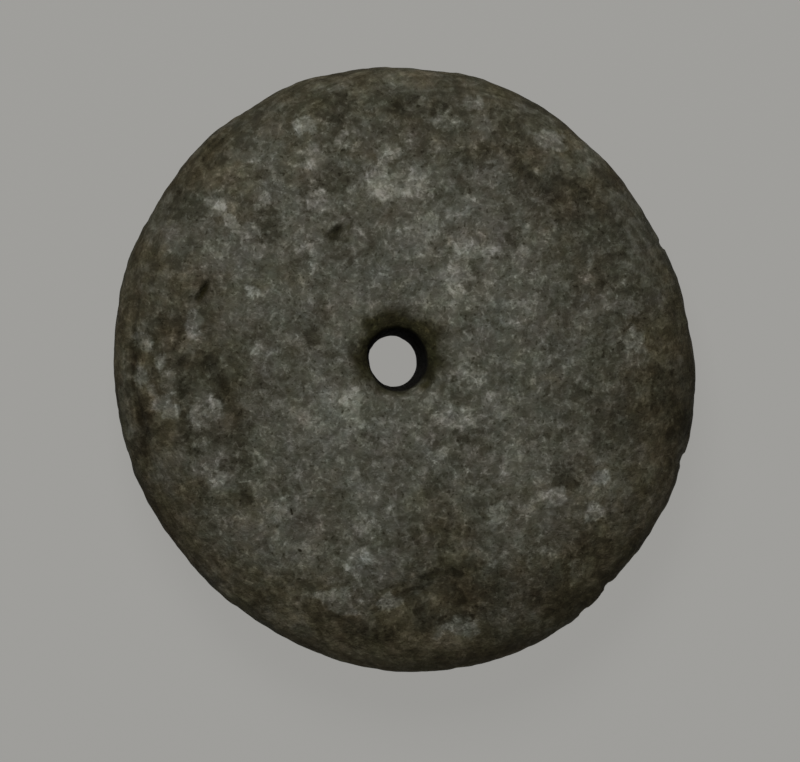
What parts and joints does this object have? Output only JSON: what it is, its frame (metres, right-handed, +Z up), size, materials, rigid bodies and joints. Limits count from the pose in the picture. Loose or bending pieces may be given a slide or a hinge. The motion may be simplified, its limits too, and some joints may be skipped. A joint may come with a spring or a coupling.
{
  "type": "loom weight",
  "caption": "Slightly oval disc of ground olive-grey stone with rounded edges, lying flat, with a cord hole bored through from both faces to a narrow waist.",
  "frame": {"origin": "on the underside, below the middle of the outline's box", "axes": "+Z up out of the upper face, +Y towards the top of the stone as it hung, +X to its right"},
  "size_m": [0.1002, 0.1042, 0.0279],
  "materials": {
    "stone": "matt, finely pecked and ground, mottled olive grey"
  },
  "bodies": {
    "root": {"loom_weight_stone": "stone"}
  },
  "joints": []
}
